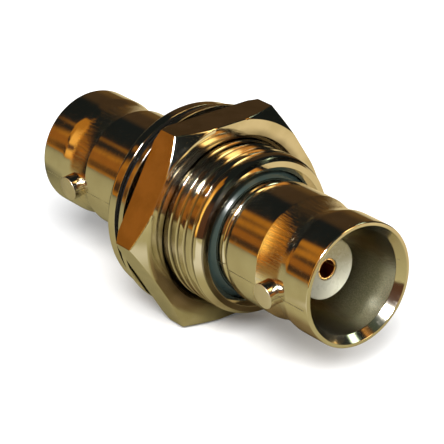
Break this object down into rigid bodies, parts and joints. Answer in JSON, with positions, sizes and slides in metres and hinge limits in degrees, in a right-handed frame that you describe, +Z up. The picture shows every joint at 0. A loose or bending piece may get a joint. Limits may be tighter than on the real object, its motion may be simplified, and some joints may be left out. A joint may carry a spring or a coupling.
{
  "type": "bnc bulkhead adapter",
  "caption": "Insulated bulkhead adapter with a bayonet coaxial jack at each end, a flange and rubber gasket for the panel, a toothed lock washer and a hexagon nut.",
  "frame": {"origin": "on the surface that the adapter lies on, under the middle of its length", "axes": "+X along the centre line towards the front jack's mouth, +Z up, +Y to the left seen from behind"},
  "size_m": [0.0336, 0.0184, 0.0163],
  "materials": {
    "nickel_plate": "bright nickel plate over turned and cast metal",
    "washer_plate": "nickel-plated spring steel, stamped",
    "bush_plastic": "moulded, grey green",
    "insulator_plastic": "turned, cream white",
    "gasket_rubber": "moulded, black",
    "gold_plate": "gold plate"
  },
  "bodies": {
    "adapter": {"front_jack_shell": "nickel_plate", "rear_jack_shell": "nickel_plate", "threaded_sleeve": "nickel_plate", "front_insulating_bush": "bush_plastic", "rear_insulating_bush": "bush_plastic", "flange_gasket": "gasket_rubber", "front_insulator": "insulator_plastic", "rear_insulator": "insulator_plastic", "centre_contact": "gold_plate"},
    "washer": {"lock_washer": "washer_plate"},
    "nut": {"hex_nut": "nickel_plate"}
  },
  "joints": [
    {"name": "nut_travel", "type": "slide", "parent": "adapter", "child": "washer", "axis": [1, 0, 0], "range_m": [0, 0.00363]},
    {"name": "nut_turn", "type": "hinge", "parent": "washer", "child": "nut", "pos_m": [0, 0, 0.00815], "axis": [1, 0, 0], "range_deg": [0, 1440]}
  ],
  "couplings": [
    {"joint": "nut_travel", "follows": "nut_turn", "m_per_rad": 0.00014435}
  ]
}
